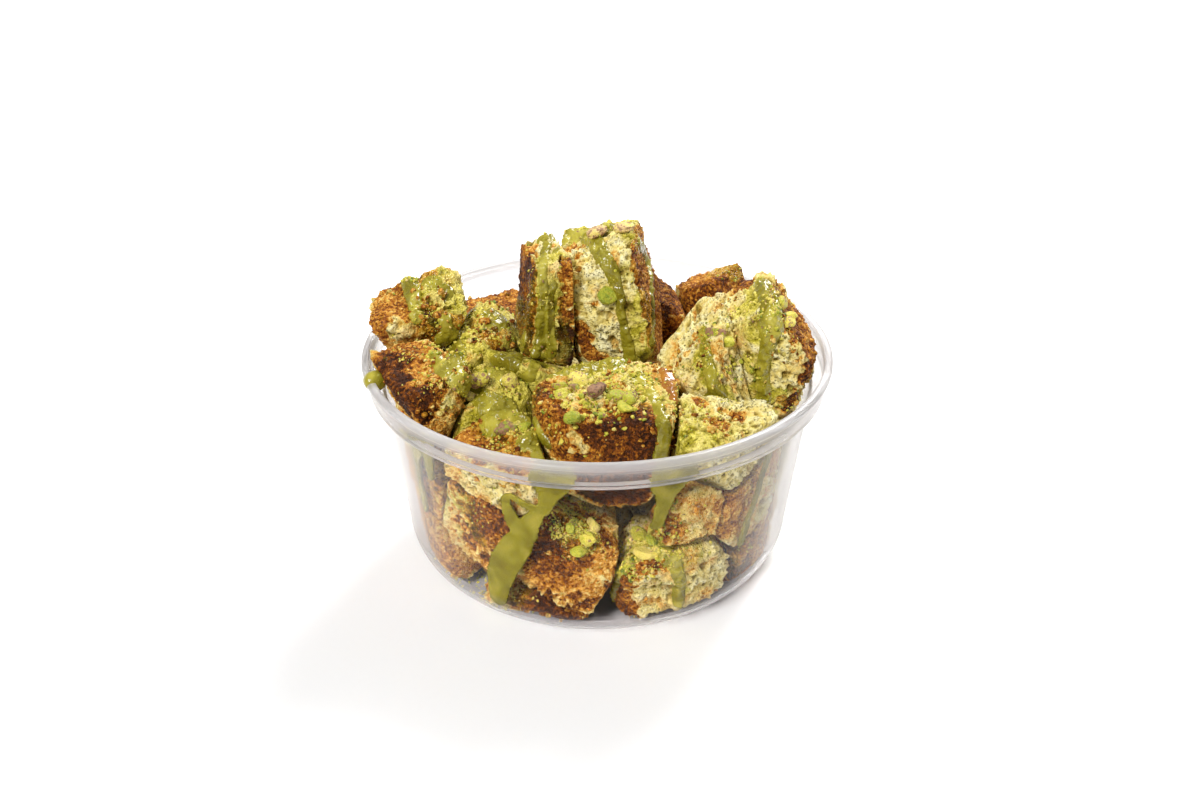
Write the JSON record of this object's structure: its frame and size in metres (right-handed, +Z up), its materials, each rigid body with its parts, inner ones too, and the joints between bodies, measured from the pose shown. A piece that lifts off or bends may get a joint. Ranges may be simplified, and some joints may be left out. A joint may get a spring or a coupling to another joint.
{
  "type": "pistachio waffle bites",
  "caption": "Torn waffle cubes heaped in a clear round deli tub, with green pistachio sauce runs, chopped pistachio and whole kernels.",
  "frame": {"origin": "middle of the tub's flat underside", "axes": "+Z up through the tub's centre; -Y towards the front of the heap, +X to its right"},
  "size_m": [0.117, 0.117, 0.0875],
  "materials": {
    "clear_plastic": "clear, slightly milky polypropylene, glossy",
    "waffle": "matte porous crumb with browned, grainy crust",
    "pistachio_sauce": "thick glossy green sauce",
    "pistachio_kernel": "matte nut, green inside with a purple-brown skin"
  },
  "bodies": {
    "root": {"tub": "clear_plastic", "bite_tall": "waffle", "bite_tall_side": "waffle", "bite_left_rim": "waffle", "bite_left_dark": "waffle", "bite_soaked_back": "waffle", "bite_soaked_middle": "waffle", "bite_soaked_front": "waffle", "bite_front": "waffle", "bite_right_lobe": "waffle", "bite_right": "waffle", "bite_back_right": "waffle", "bite_back_left": "waffle", "bite_back": "waffle", "bite_front_right": "waffle", "bite_front_left": "waffle", "bite_side_left": "waffle", "bite_side_left_high": "waffle", "bite_side_brown": "waffle", "bite_side_dark": "waffle", "bite_side_pale": "waffle", "bite_side_golden": "waffle", "bite_side_arch": "waffle", "bite_side_right": "waffle", "bite_side_floor": "waffle", "bite_rear_1": "waffle", "bite_rear_2": "waffle", "bite_rear_3": "waffle", "bite_rear_4": "waffle", "bite_rear_5": "waffle", "bite_rear_6": "waffle", "bite_rear_7": "waffle", "bite_rear_8": "waffle", "bite_rear_9": "waffle", "bite_rear_10": "waffle", "bite_core_1": "waffle", "bite_core_2": "waffle", "bite_core_3": "waffle", "bite_core_4": "waffle", "kernel_tall_left": "pistachio_kernel", "kernel_tall_right": "pistachio_kernel", "kernel_front_brown": "pistachio_kernel", "kernel_front_green": "pistachio_kernel", "kernel_left": "pistachio_kernel", "sauce_run_front_left": "pistachio_sauce", "sauce_run_front_right": "pistachio_sauce", "sauce_run_left": "pistachio_sauce", "sauce_run_right": "pistachio_sauce"}
  },
  "joints": []
}
